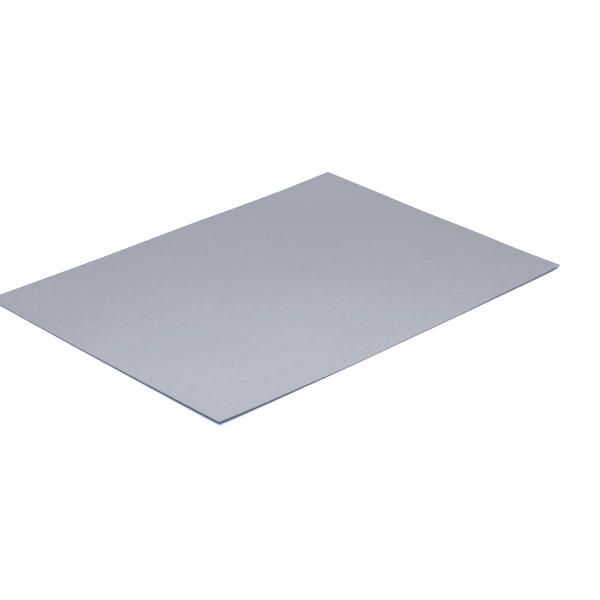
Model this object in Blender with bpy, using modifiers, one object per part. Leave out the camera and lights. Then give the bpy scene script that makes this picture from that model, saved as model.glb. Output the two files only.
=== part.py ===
"""Ferrite absorber sheet: an A4 sheet of grey magnetic absorber on its blue release liner.

Metres, +Z up. The sheet lies on its liner on a level floor, with its long side along X.
The origin is on the floor, under the middle of the liner. The middle of the sheet is flat,
and its corners and edges stand up a little, as thin stock does when it lies loose.
"""
from math import ceil, cos, pi, radians, sin

import bmesh
import bpy

COLLECTION_NAME = "ferrite_absorber_sheet"

# The cut size of the absorber, and the thickness of each layer
SHEET_LENGTH = 0.297
SHEET_WIDTH = 0.210
ABSORBER_THICKNESS = 0.00030
LINER_THICKNESS = 0.000075

# The liner shows past the absorber along the +Y edge, and is cut flush on the other three
LINER_OVERHANG = 0.0012

# The air between the liner's upper face and the absorber's lower face
LAYER_CLEARANCE = 0.00002

# Widest cell of the grid that both layers are bent on
GRID_PITCH = 0.0125

# Corner curls: the tip's height, how far in from the tip the bend starts, and the way that
# the bend climbs, in plan, from +X
NEAR_LEFT_LIFT = 0.0033
NEAR_LEFT_REACH = 0.130
NEAR_LEFT_CLIMB = radians(207)
NEAR_RIGHT_LIFT = 0.0019
NEAR_RIGHT_REACH = 0.135
NEAR_RIGHT_CLIMB = radians(-41)
FAR_RIGHT_LIFT = 0.0008
FAR_RIGHT_REACH = 0.056
FAR_RIGHT_CLIMB = radians(5)

# Edge ripples: the crests' height, the distance between crests, the place of one crest
# along the edge, and how far in from the edge the ripple dies out
FAR_RIPPLE_HEIGHT = 0.00035
FAR_RIPPLE_PITCH = 0.142
FAR_RIPPLE_CREST = 0.010
FAR_RIPPLE_DEPTH = 0.060
NEAR_RIPPLE_HEIGHT = 0.00030
NEAR_RIPPLE_PITCH = 0.088
NEAR_RIPPLE_CREST = 0.005
NEAR_RIPPLE_DEPTH = 0.050
RIGHT_RIPPLE_HEIGHT = 0.00035
RIGHT_RIPPLE_PITCH = 0.088
RIGHT_RIPPLE_CREST = 0.059
RIGHT_RIPPLE_DEPTH = 0.050

# The edges in plan: the origin is under the middle of the liner, the wider of the two layers
RIGHT_EDGE = SHEET_LENGTH / 2
LEFT_EDGE = -RIGHT_EDGE
NEAR_EDGE = -(SHEET_WIDTH + LINER_OVERHANG) / 2
FAR_EDGE = NEAR_EDGE + SHEET_WIDTH
ABSORBER_BOTTOM = LINER_THICKNESS + LAYER_CLEARANCE


def corner_curl(x, y, tip, climb, reach, lift):
    """Height of a corner rolled up about a straight line: nothing before the line, a parabola past it."""
    past_line = (x - tip[0]) * cos(climb) + (y - tip[1]) * sin(climb) + reach
    return lift * (max(past_line, 0.0) / reach) ** 2


def edge_ripple(along, inset, crest, pitch, height, depth):
    """Height of low waves along an edge, at a distance in from it, where they die out at a depth."""
    strength = max(depth - inset, 0.0) / depth
    wave = (1.0 + cos(2 * pi * (along - crest) / pitch)) / 2
    return height * wave * strength ** 2


def rise(x, y):
    """How far the bent sheet stands up from the floor at a place in plan."""
    near_left = corner_curl(
        x, y, (LEFT_EDGE, NEAR_EDGE), NEAR_LEFT_CLIMB, NEAR_LEFT_REACH, NEAR_LEFT_LIFT
    )
    near_right = corner_curl(
        x, y, (RIGHT_EDGE, NEAR_EDGE), NEAR_RIGHT_CLIMB, NEAR_RIGHT_REACH, NEAR_RIGHT_LIFT
    )
    far_right = corner_curl(
        x, y, (RIGHT_EDGE, FAR_EDGE), FAR_RIGHT_CLIMB, FAR_RIGHT_REACH, FAR_RIGHT_LIFT
    )
    far_ripple = edge_ripple(
        x, FAR_EDGE - y, FAR_RIPPLE_CREST, FAR_RIPPLE_PITCH, FAR_RIPPLE_HEIGHT, FAR_RIPPLE_DEPTH
    )
    near_ripple = edge_ripple(
        x, y - NEAR_EDGE, NEAR_RIPPLE_CREST, NEAR_RIPPLE_PITCH, NEAR_RIPPLE_HEIGHT, NEAR_RIPPLE_DEPTH
    )
    right_ripple = edge_ripple(
        y, RIGHT_EDGE - x, RIGHT_RIPPLE_CREST, RIGHT_RIPPLE_PITCH, RIGHT_RIPPLE_HEIGHT, RIGHT_RIPPLE_DEPTH
    )
    return near_left + near_right + far_right + far_ripple + near_ripple + right_ripple


def plain_material(name, colour, roughness):
    """A Principled material of one colour."""
    material = bpy.data.materials.new(name)
    material.use_nodes = True
    shader = material.node_tree.nodes["Principled BSDF"]
    shader.inputs["Base Color"].default_value = (*colour, 1.0)
    shader.inputs["Roughness"].default_value = roughness
    shader.inputs["Metallic"].default_value = 0.0
    return material


def flat_grid(overhang):
    """A flat grid on the absorber's plan, with one more row of cells past its +Y edge for an overhang."""
    columns = ceil(SHEET_LENGTH / GRID_PITCH)
    rows = ceil(SHEET_WIDTH / GRID_PITCH)
    grid = bmesh.new()
    bmesh.ops.create_grid(grid, x_segments=columns, y_segments=rows, size=1.0)
    bmesh.ops.scale(grid, verts=grid.verts, vec=(SHEET_LENGTH / 2, SHEET_WIDTH / 2, 1.0))
    bmesh.ops.translate(grid, verts=grid.verts, vec=(0.0, (NEAR_EDGE + FAR_EDGE) / 2, 0.0))
    if overhang > 0:
        last_row = FAR_EDGE - SHEET_WIDTH / rows / 2
        far_border = [edge for edge in grid.edges if min(v.co.y for v in edge.verts) > last_row]
        grown = bmesh.ops.extrude_edge_only(grid, edges=far_border)
        outer_verts = [item for item in grown["geom"] if isinstance(item, bmesh.types.BMVert)]
        bmesh.ops.translate(grid, verts=outer_verts, vec=(0.0, overhang, 0.0))
        bmesh.ops.recalc_face_normals(grid, faces=grid.faces)
    return grid


def bent_layer(name, underside, thickness, overhang, material, collection):
    """One layer: the bent grid at the height of the layer's underside, thickened upwards."""
    grid = flat_grid(overhang)
    for vert in grid.verts:
        vert.co.z = underside + rise(vert.co.x, vert.co.y)
    mesh = bpy.data.meshes.new(name)
    grid.to_mesh(mesh)
    grid.free()
    mesh.materials.append(material)
    layer = bpy.data.objects.new(name, mesh)
    collection.objects.link(layer)
    solidify = layer.modifiers.new("thickness", "SOLIDIFY")
    solidify.thickness = thickness
    solidify.offset = 1.0
    solidify.use_even_offset = True


def main():
    for old in list(bpy.data.objects):
        bpy.data.objects.remove(old, do_unlink=True)
    collection = bpy.data.collections.new(COLLECTION_NAME)
    bpy.context.scene.collection.children.link(collection)
    grey_absorber = plain_material("grey_absorber", (0.42, 0.445, 0.49), 0.55)
    blue_film = plain_material("blue_film", (0.085, 0.27, 0.62), 0.35)
    bent_layer("absorber_sheet", ABSORBER_BOTTOM, ABSORBER_THICKNESS, 0.0, grey_absorber, collection)
    bent_layer("release_liner", 0.0, LINER_THICKNESS, LINER_OVERHANG, blue_film, collection)


main()
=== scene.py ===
"""Looks of the ferrite absorber sheet: satin grey, powder-filled stock on its blue release liner.

Metres, +Z up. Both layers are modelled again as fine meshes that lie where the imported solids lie:
their bend is read from the solid's own grid, and drawn through it as a smooth surface.
"""
from math import atan, cos, radians, sin

import bmesh
import bpy
import numpy as np
from mathutils import Matrix, Vector, noise


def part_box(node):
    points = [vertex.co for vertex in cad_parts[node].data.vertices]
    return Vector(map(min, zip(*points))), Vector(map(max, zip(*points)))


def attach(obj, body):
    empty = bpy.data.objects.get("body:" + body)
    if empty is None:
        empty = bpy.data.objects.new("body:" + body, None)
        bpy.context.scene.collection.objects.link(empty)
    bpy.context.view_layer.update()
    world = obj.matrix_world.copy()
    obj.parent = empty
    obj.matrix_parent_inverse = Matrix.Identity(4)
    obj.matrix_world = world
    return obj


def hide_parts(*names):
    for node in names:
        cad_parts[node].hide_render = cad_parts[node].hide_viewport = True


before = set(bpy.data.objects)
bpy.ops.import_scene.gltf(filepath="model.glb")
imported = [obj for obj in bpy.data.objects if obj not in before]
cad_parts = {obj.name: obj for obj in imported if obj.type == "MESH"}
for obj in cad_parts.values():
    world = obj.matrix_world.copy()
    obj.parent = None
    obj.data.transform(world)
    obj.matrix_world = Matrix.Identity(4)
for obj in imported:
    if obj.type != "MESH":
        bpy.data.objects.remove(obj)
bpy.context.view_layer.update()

# Fine cells across one cell of the solid's grid
FINE_CELLS = 8

# Decimals of a metre that tell the columns and rows of the solid's grid apart
PLAN_DECIMALS = 5

# Unevenness of the thin stock: the height of its slack and of its small dimples, the size of
# their waves, and a number that gives each a pattern of its own
SLACK_HEIGHT = 0.00005
SLACK_WAVE = 0.050
SLACK_PATTERN = 0.0
DIMPLE_HEIGHT = 0.000006
DIMPLE_WAVE = 0.007
DIMPLE_PATTERN = 5.0

# The knife's line wanders in from the straight edge by up to this much, over waves of this
# length, in a pattern of its own
CUT_WANDER = 0.00003
CUT_WAVE = 0.006
CUT_PATTERN = 0.5

# Radius that the cut leaves on a layer's edges, and the bend from which an edge counts as one
ABSORBER_EDGE_RADIUS = 0.00004
LINER_EDGE_RADIUS = 0.00001
EDGE_ANGLE = radians(60)

# Material slots of a layer's mesh, after its upper face in slot 0
EDGE_SLOT = 1
UNDERSIDE_SLOT = 2

# Noise textures hardly leave this range, so it is taken as their whole range
NOISE_LOW = 0.3
NOISE_HIGH = 0.7

# Absorber's face: its colour, the size of its patches, and how far each lightens or darkens it
ABSORBER_GREY = (0.403, 0.414, 0.497)
CLOUD_SIZE = 0.060
CLOUD_DEPTH = 0.018
MOTTLE_SIZE = 0.0038
MOTTLE_DEPTH = 0.032
GRAIN_SIZE = 0.0004
GRAIN_DEPTH = 0.035

# Faint streaks of the rolling, long in X: how many to a metre along each axis
STREAKS_PER_METRE = (6.0, 90.0, 6.0)
STREAK_DEPTH = 0.010

# Pale flecks, scattered dots: where a dot starts and stops to fade, in units of their spacing,
# and how bright a dot's random colour has to be for the dot to show
FLECK_SPACING = 0.0045
FLECK_FADE = (0.10, 0.22)
FLECK_CHOICE = (0.60, 0.62)
FLECK_DEPTH = 0.06

# The texture's strength grows along this way, towards the near-left corner under the pool of light,
# from its least share at the range's start to all of it at the range's end. The grain and mottle
# are the stock's own, but their growth in the colour towards the light is painted sheen
SHEEN_STRENGTH_WAY = (-0.707, -0.707, 0.0)
SHEEN_STRENGTH_RANGE = (-0.150, 0.010)
SHEEN_STRENGTH_LEAST = 0.15

# Absorber's gloss and relief: its roughness where the mottle is darkest and where it is palest,
# the size of broad pits, their depth as a multiple of the grain's, and the grain's own depth
ABSORBER_ROUGHNESS = (0.54, 0.46)
PIT_SIZE = 0.0020
PIT_SHARE = 1.5
ABSORBER_RELIEF = 0.000011

# Absorber's cut edge
ABSORBER_CUT_GREY = (0.078, 0.084, 0.102)
ABSORBER_CUT_ROUGHNESS = 0.7
CRUMB_SIZE = 0.00012
CRUMB_DEPTH = 0.25
CRUMB_RELIEF = 0.00002

# Liner's faces: the inner one lies against the absorber and shows past it as a rim, and the
# roughness is given where the smudges are darkest and where they are palest
LINER_INNER_BLUE = (0.062, 0.290, 0.735)
LINER_OUTER_BLUE = (0.060, 0.200, 0.480)
LINER_ROUGHNESS = (0.26, 0.36)
LINER_SPECULAR = 0.2
SMUDGE_SIZE = 0.030
SMUDGE_DEPTH = 0.030
FILM_WAVE = 0.004
FILM_RELIEF = 0.00001

# Hairline scuffs of the film, long in X: how many to a metre along each axis, the noise from
# which one starts to show and at which it is full, and how pale and dull it is then
SCUFFS_PER_METRE = (30.0, 900.0, 30.0)
SCUFF_RANGE = (0.66, 0.80)
SCUFF_DEPTH = 0.12

# Liner's cut edge
LINER_CUT_BLUE = (0.012, 0.020, 0.045)
LINER_CUT_ROUGHNESS = 0.5
LINER_CUT_SIZE = 0.0006
LINER_CUT_DEPTH = 0.15

# Camera, from the sheet's four corners in the photograph
CAMERA_TARGET = (-0.006604, -0.024261, 0.0)
CAMERA_AZIMUTH = radians(-45.005)
CAMERA_ELEVATION = radians(26.762)
CAMERA_ROLL = radians(1.202)
CAMERA_DISTANCE = 1.2034
CAMERA_LENS = 116.39

# Floor, and the sky: how bright it lights the scene, and how bright it is seen behind the floor
FLOOR_RADIUS = 6.0
FLOOR_SIDES = 96
FLOOR_ALBEDO = 0.80
FLOOR_ROUGHNESS = 0.9
SKY_STRENGTH = 0.625
BACKDROP_STRENGTH = 1.05

# Overhead light: a large square that faces the sheet's middle
SHEET_MIDDLE = (0.0, 0.0, 0.0)
OVERHEAD_SIZE = 2.4
OVERHEAD_PLACE = (-0.25, 0.70, 2.6)
OVERHEAD_WATTS = 21.2

# Pool of light: a soft round spot from straight above its centre
POOL_CENTRE = (-0.122, -0.189, 0.0)
POOL_HEIGHT = 2.0
POOL_RADIUS = 0.303
POOL_BLEND = 1.0
POOL_LAMP_RADIUS = 0.05
POOL_COLOUR = (0.88, 1.0, 0.80)
POOL_WATTS = 53.3

# Floor fill: far light from the camera's side that falls on the floor alone
FLOOR_FILL_ELEVATION = radians(48)
FLOOR_FILL_SPREAD = radians(8)
FLOOR_FILL_STRENGTH = 3.31


class Nodes:
    """The node tree of a new material, with a short call for each kind of node used here."""

    def __init__(self, name):
        self.material = bpy.data.materials.new(name)
        self.material.use_nodes = True
        self.tree = self.material.node_tree
        self.shader = self.tree.nodes["Principled BSDF"]
        coordinates = self.tree.nodes.new("ShaderNodeTexCoord")
        self.place = coordinates.outputs["Object"]

    def link(self, source, socket):
        """Connects an output, or sets a plain value."""
        if isinstance(source, bpy.types.NodeSocket):
            self.tree.links.new(source, socket)
        else:
            socket.default_value = source

    def stretched(self, scale):
        """The object's coordinates, each axis multiplied by its own number."""
        mapping = self.tree.nodes.new("ShaderNodeMapping")
        mapping.inputs["Scale"].default_value = scale
        self.tree.links.new(self.place, mapping.inputs["Vector"])
        return mapping.outputs["Vector"]

    def noise(self, size, detail=2.0, roughness=0.5, place=None):
        """Cloudy noise from 0 to 1, with blobs of about that size in the coordinates' own unit."""
        cloud = self.tree.nodes.new("ShaderNodeTexNoise")
        cloud.inputs["Scale"].default_value = 1.0 / size
        cloud.inputs["Detail"].default_value = detail
        cloud.inputs["Roughness"].default_value = roughness
        self.tree.links.new(place or self.place, cloud.inputs["Vector"])
        return cloud.outputs["Fac"]

    def dots(self, spacing):
        """Distance to the nearest of many scattered points, in spacings, and its random colour."""
        scatter = self.tree.nodes.new("ShaderNodeTexVoronoi")
        scatter.inputs["Scale"].default_value = 1.0 / spacing
        self.tree.links.new(self.place, scatter.inputs["Vector"])
        return scatter.outputs["Distance"], scatter.outputs["Color"]

    def spread(self, value, low, high, to_low, to_high):
        """A value moved from one range to another, and held there."""
        spread = self.tree.nodes.new("ShaderNodeMapRange")
        ends = {"From Min": low, "From Max": high, "To Min": to_low, "To Max": to_high}
        for end, number in ends.items():
            spread.inputs[end].default_value = number
        self.tree.links.new(value, spread.inputs["Value"])
        return spread.outputs["Result"]

    def swing(self, cloud, depth, middle=0.0):
        """Noise as a swing about a middle value, by up to a depth each way."""
        return self.spread(cloud, NOISE_LOW, NOISE_HIGH, middle - depth, middle + depth)

    def along(self, way):
        """How far a place lies along a way from the object's origin, in metres."""
        dot = self.tree.nodes.new("ShaderNodeVectorMath")
        dot.operation = "DOT_PRODUCT"
        dot.inputs[1].default_value = way
        self.tree.links.new(self.place, dot.inputs[0])
        return dot.outputs["Value"]

    def sum(self, *values):
        return self.folded("ADD", values)

    def product(self, *values):
        return self.folded("MULTIPLY", values)

    def folded(self, operation, values):
        """Several values brought down to one by the same operation."""
        result = values[0]
        for value in values[1:]:
            step = self.tree.nodes.new("ShaderNodeMath")
            step.operation = operation
            self.link(result, step.inputs[0])
            self.link(value, step.inputs[1])
            result = step.outputs["Value"]
        return result

    def tinted(self, colour, brightness):
        """A colour multiplied by a value."""
        tint = self.tree.nodes.new("ShaderNodeVectorMath")
        tint.operation = "SCALE"
        tint.inputs[0].default_value = colour
        self.tree.links.new(brightness, tint.inputs["Scale"])
        return tint.outputs["Vector"]

    def bump(self, height, distance):
        """The surface's normal over a relief, where a height of 1 stands for that distance."""
        bump = self.tree.nodes.new("ShaderNodeBump")
        bump.inputs["Distance"].default_value = distance
        self.tree.links.new(height, bump.inputs["Height"])
        return bump.outputs["Normal"]

    def finish(self, **sockets):
        """Sets the shader's sockets and returns the material."""
        for name, source in sockets.items():
            label = name.replace("_", " ").title().replace("Ior", "IOR")
            self.link(source, self.shader.inputs[label])
        return self.material


def absorber_face():
    """Satin grey filled polymer: soft mottle, powder grain, pale flecks and streaks of the rolling.

    All but the broad clouds fade towards the far corner, away from the pool of light; in the colour
    this is painted sheen.
    """
    nodes = Nodes("absorber_face")
    clouds = nodes.swing(nodes.noise(CLOUD_SIZE), CLOUD_DEPTH)
    mottle = nodes.swing(nodes.noise(MOTTLE_SIZE), MOTTLE_DEPTH)
    rolling = nodes.noise(1.0, place=nodes.stretched(STREAKS_PER_METRE))
    streaks = nodes.swing(rolling, STREAK_DEPTH)
    grain = nodes.noise(GRAIN_SIZE)
    specks = nodes.swing(grain, GRAIN_DEPTH)
    distance, colour = nodes.dots(FLECK_SPACING)
    fleck = nodes.spread(distance, *FLECK_FADE, 1.0, 0.0)
    chosen = nodes.spread(colour, *FLECK_CHOICE, 0.0, 1.0)
    flecks = nodes.product(fleck, chosen, FLECK_DEPTH)
    # Texture strength, greatest under the pool of light: in the colour it is painted sheen on the
    # grain
    strength = nodes.spread(nodes.along(SHEEN_STRENGTH_WAY), *SHEEN_STRENGTH_RANGE, SHEEN_STRENGTH_LEAST, 1.0)
    powder = nodes.product(nodes.sum(mottle, streaks, specks, flecks), strength)
    brightness = nodes.sum(clouds, powder, 1.0)
    faded_mottle = nodes.product(mottle, strength)
    gloss = nodes.spread(faded_mottle, -MOTTLE_DEPTH, MOTTLE_DEPTH, *ABSORBER_ROUGHNESS)
    pits = nodes.product(nodes.noise(PIT_SIZE), PIT_SHARE)
    relief = nodes.product(nodes.sum(grain, pits), strength)
    return nodes.finish(
        base_color=nodes.tinted(ABSORBER_GREY, brightness),
        roughness=gloss,
        normal=nodes.bump(relief, ABSORBER_RELIEF),
    )


def absorber_cut():
    """The knife-cut edge of the absorber: darker, dull and crumbly."""
    nodes = Nodes("absorber_cut")
    crumbs = nodes.noise(CRUMB_SIZE, detail=3.0, roughness=0.6)
    return nodes.finish(
        base_color=nodes.tinted(ABSORBER_CUT_GREY, nodes.swing(crumbs, CRUMB_DEPTH, 1.0)),
        roughness=ABSORBER_CUT_ROUGHNESS,
        normal=nodes.bump(crumbs, CRUMB_RELIEF),
    )


def liner_film(name, colour):
    """Semi-gloss blue polyester film with faint smudges and hairline scuffs."""
    nodes = Nodes(name)
    smudges = nodes.swing(nodes.noise(SMUDGE_SIZE, detail=4.0, roughness=0.6), SMUDGE_DEPTH)
    hairs = nodes.noise(1.0, detail=3.0, place=nodes.stretched(SCUFFS_PER_METRE))
    scuffs = nodes.spread(hairs, *SCUFF_RANGE, 0.0, SCUFF_DEPTH)
    brightness = nodes.sum(smudges, scuffs, 1.0)
    dullness = nodes.spread(smudges, -SMUDGE_DEPTH, SMUDGE_DEPTH, *LINER_ROUGHNESS)
    waves = nodes.noise(FILM_WAVE, detail=1.0)
    return nodes.finish(
        base_color=nodes.tinted(colour, brightness),
        roughness=nodes.sum(dullness, scuffs),
        specular_ior_level=LINER_SPECULAR,
        normal=nodes.bump(waves, FILM_RELIEF),
    )


def liner_cut():
    """The cut edge of the blue film, which looks darker than its faces."""
    nodes = Nodes("liner_cut")
    brightness = nodes.swing(nodes.noise(LINER_CUT_SIZE), LINER_CUT_DEPTH, 1.0)
    return nodes.finish(
        base_color=nodes.tinted(LINER_CUT_BLUE, brightness),
        roughness=LINER_CUT_ROUGHNESS,
        specular_ior_level=LINER_SPECULAR,
    )


def face_corners(node, facing):
    """The corners of a node's faces that look up, for a facing of 1, or down, for -1."""
    mesh = node.data
    faces = [face for face in mesh.polygons if face.normal.z * facing > 0.5]
    corners = {index for face in faces for index in face.vertices}
    return np.array([mesh.vertices[index].co for index in sorted(corners)])


def thickness_of(node):
    """How far a node's upper face stands over its lower one, in the flat middle."""
    return face_corners(node, 1)[:, 2].min() - face_corners(node, -1)[:, 2].min()


def on_smooth_curve(table, places):
    """Entries between a table's rows, on Catmull-Rom curves that bend on alike past its ends."""
    before = 3 * table[0] - 3 * table[1] + table[2]
    after = 3 * table[-1] - 3 * table[-2] + table[-3]
    table = np.concatenate([[before], table, [after]])
    first = np.clip(np.floor(places).astype(int), 0, len(table) - 4)
    part = (places - first)[:, None]
    p0, p1, p2, p3 = (table[first + step] for step in range(4))
    cubic = 3 * (p1 - p2) + p3 - p0
    square = 2 * p0 - 5 * p1 + 4 * p2 - p3
    return p1 + part / 2 * (p2 - p0 + part * (square + part * cubic))


class BentGrid:
    """The grid that the absorber's underside is bent on, read from its solid."""

    def __init__(self, node):
        corners = face_corners(node, -1)
        plan = corners[:, :2].round(PLAN_DECIMALS)
        self.columns, column_of = np.unique(plan[:, 0], return_inverse=True)
        self.rows, row_of = np.unique(plan[:, 1], return_inverse=True)
        self.heights = np.zeros((len(self.rows), len(self.columns)))
        self.heights[row_of, column_of] = corners[:, 2] - corners[:, 2].min()

    def rise(self, xs, ys):
        """How far the stock stands up from its flat middle, for each y and x."""
        columns_along = (xs - self.columns[0]) / (self.columns[1] - self.columns[0])
        rows_along = (ys - self.rows[0]) / (self.rows[1] - self.rows[0])
        by_row = on_smooth_curve(self.heights, rows_along)
        return on_smooth_curve(by_row.T, columns_along).T


def smooth_noise(*place):
    """Smooth noise, about 0 to 1, at a place given by three numbers."""
    return (noise.noise(place) + 1.0) / 2


def unevenness(x, y):
    """Height of the stock's own unevenness at a place in plan, which both layers share."""
    slack = smooth_noise(x / SLACK_WAVE, y / SLACK_WAVE, SLACK_PATTERN)
    dimples = smooth_noise(x / DIMPLE_WAVE, y / DIMPLE_WAVE, DIMPLE_PATTERN)
    return slack * SLACK_HEIGHT + dimples * DIMPLE_HEIGHT


def wander(along, line):
    """How far in from the straight edge a cut runs, at a distance along it.

    The line is a number that each edge has for itself.
    """
    return smooth_noise(along / CUT_WAVE, line, CUT_PATTERN) * CUT_WANDER


def bent_mesh(name, node, bend):
    """One layer's underside as a fine mesh on the solids' bend, with cuts that wander a little."""
    low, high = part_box(node.name)
    columns = FINE_CELLS * (len(bend.columns) - 1)
    rows = FINE_CELLS * (len(bend.rows) - 1)
    xs = np.linspace(low.x, high.x, columns + 1)
    ys = np.linspace(low.y, high.y, rows + 1)
    heights = low.z + bend.rise(xs, ys)
    grid = bmesh.new()
    bmesh.ops.create_grid(grid, x_segments=columns, y_segments=rows, size=1.0)
    for vert in grid.verts:
        # The plain grid runs from -1 to 1 along both axes
        column = round((vert.co.x + 1.0) / 2 * columns)
        row = round((vert.co.y + 1.0) / 2 * rows)
        x = xs[column]
        y = ys[row]
        vert.co.z = heights[row, column] + unevenness(x, y)
        if column in (0, columns):
            inwards = 1 if column == 0 else -1
            x += inwards * wander(y, column)
        if row in (0, rows):
            inwards = 1 if row == 0 else -1
            y += inwards * wander(x, row + 0.5)
        vert.co.x = x
        vert.co.y = y
    mesh = bpy.data.meshes.new(name)
    grid.to_mesh(mesh)
    grid.free()
    return mesh


def layer(name, node, bend, edge_radius, face, edge, underside):
    """One layer as a closed piece: its underside thickened upwards, with rounded edges."""
    mesh = bent_mesh(name, node, bend)
    for material in (face, edge, underside):
        mesh.materials.append(material)
    mesh.shade_smooth()
    piece = bpy.data.objects.new(name, mesh)
    bpy.context.scene.collection.objects.link(piece)
    body = piece.modifiers.new("thickness", "SOLIDIFY")
    body.thickness = thickness_of(node)
    body.offset = 1.0
    body.use_even_offset = True
    body.material_offset_rim = EDGE_SLOT
    body.material_offset = UNDERSIDE_SLOT
    rounding = piece.modifiers.new("edges", "BEVEL")
    rounding.width = edge_radius
    rounding.segments = 2
    rounding.limit_method = "ANGLE"
    rounding.angle_limit = EDGE_ANGLE
    shading = piece.modifiers.new("shading", "WEIGHTED_NORMAL")
    shading.weight = 100
    shading.keep_sharp = False
    return piece


def add_sheet():
    """The absorber on its liner, each in the place of its solid."""
    absorber_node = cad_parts["absorber_sheet"]
    liner_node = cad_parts["release_liner"]
    bend = BentGrid(absorber_node)
    grey_face = absorber_face()
    absorber = layer(
        "absorber", absorber_node, bend, ABSORBER_EDGE_RADIUS, grey_face, absorber_cut(), grey_face
    )
    inner_film = liner_film("liner_inner_face", LINER_INNER_BLUE)
    outer_film = liner_film("liner_outer_face", LINER_OUTER_BLUE)
    liner = layer(
        "liner", liner_node, bend, LINER_EDGE_RADIUS, inner_film, liner_cut(), outer_film
    )
    for piece, node, slot in ((absorber, absorber_node, "absorber"), (liner, liner_node, "liner")):
        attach(piece, "root")
        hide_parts(node.name)


def add_floor():
    """A plain pale floor."""
    white = Nodes("floor_white").finish(
        base_color=(FLOOR_ALBEDO, FLOOR_ALBEDO, FLOOR_ALBEDO, 1.0), roughness=FLOOR_ROUGHNESS
    )
    floor_mesh = bpy.data.meshes.new("floor")
    disc = bmesh.new()
    bmesh.ops.create_circle(disc, cap_ends=True, segments=FLOOR_SIDES, radius=FLOOR_RADIUS)
    disc.to_mesh(floor_mesh)
    disc.free()
    floor_mesh.materials.append(white)
    floor = bpy.data.objects.new("floor", floor_mesh)
    bpy.context.scene.collection.objects.link(floor)
    return floor


def direction(azimuth, elevation):
    """The unit vector from the sheet to an azimuth, which is 0 on the -Y side, and an elevation."""
    level = cos(elevation)
    return Vector((sin(azimuth) * level, -cos(azimuth) * level, sin(elevation)))


def add_sky():
    """An even white sky, seen brighter than it lights, so that it is as white as the floor."""
    world = bpy.data.worlds.new("studio")
    world.use_nodes = True
    nodes = world.node_tree.nodes
    links = world.node_tree.links
    background = nodes["Background"]
    background.inputs["Color"].default_value = (1.0, 1.0, 1.0, 1.0)
    light_path = nodes.new("ShaderNodeLightPath")
    strength = nodes.new("ShaderNodeMapRange")
    strength.inputs["To Min"].default_value = SKY_STRENGTH
    strength.inputs["To Max"].default_value = BACKDROP_STRENGTH
    links.new(light_path.outputs["Is Camera Ray"], strength.inputs["Value"])
    links.new(strength.outputs["Result"], background.inputs["Strength"])
    bpy.context.scene.world = world


def add_light(name, kind, place, target, energy):
    """A light that points from its place to its target, and that the camera doesn't see."""
    data = bpy.data.lights.new(name, kind)
    data.energy = energy
    lamp = bpy.data.objects.new(name, data)
    lamp.location = place
    lamp.rotation_euler = (Vector(target) - Vector(place)).to_track_quat("-Z", "Y").to_euler()
    lamp.visible_camera = False
    bpy.context.scene.collection.objects.link(lamp)
    return lamp


def add_lights(floor):
    """A large overhead light, a soft pool over the near-left corner and a fill for the floor."""
    overhead = add_light("overhead", "AREA", OVERHEAD_PLACE, SHEET_MIDDLE, OVERHEAD_WATTS)
    overhead.data.shape = "SQUARE"
    overhead.data.size = OVERHEAD_SIZE

    pool_place = Vector(POOL_CENTRE) + Vector((0.0, 0.0, POOL_HEIGHT))
    pool = add_light("pool", "SPOT", pool_place, POOL_CENTRE, POOL_WATTS)
    pool.data.spot_size = 2 * atan(POOL_RADIUS / POOL_HEIGHT)
    pool.data.spot_blend = POOL_BLEND
    pool.data.shadow_soft_size = POOL_LAMP_RADIUS
    pool.data.color = POOL_COLOUR

    fill_place = direction(CAMERA_AZIMUTH, FLOOR_FILL_ELEVATION)
    fill = add_light("floor_fill", "SUN", fill_place, SHEET_MIDDLE, FLOOR_FILL_STRENGTH)
    fill.data.angle = FLOOR_FILL_SPREAD
    lit_by_fill = bpy.data.collections.new("lit_by_floor_fill")
    lit_by_fill.objects.link(floor)
    fill.light_linking.receiver_collection = lit_by_fill


def add_camera():
    """The camera at the photograph's own angle, distance and roll."""
    back = direction(CAMERA_AZIMUTH, CAMERA_ELEVATION)
    level = Vector((cos(CAMERA_AZIMUTH), sin(CAMERA_AZIMUTH), 0.0))
    upright = back.cross(level)
    right = level * cos(CAMERA_ROLL) + upright * sin(CAMERA_ROLL)
    up = upright * cos(CAMERA_ROLL) - level * sin(CAMERA_ROLL)
    data = bpy.data.cameras.new("camera")
    data.lens = CAMERA_LENS
    camera = bpy.data.objects.new("camera", data)
    turn = Matrix((right, up, back)).transposed().to_4x4()
    camera.matrix_world = Matrix.Translation(Vector(CAMERA_TARGET) + back * CAMERA_DISTANCE) @ turn
    bpy.context.scene.collection.objects.link(camera)
    bpy.context.scene.camera = camera


def main():
    add_sheet()
    floor = add_floor()
    add_sky()
    add_lights(floor)
    add_camera()
    bpy.context.scene.view_settings.view_transform = "Standard"


main()
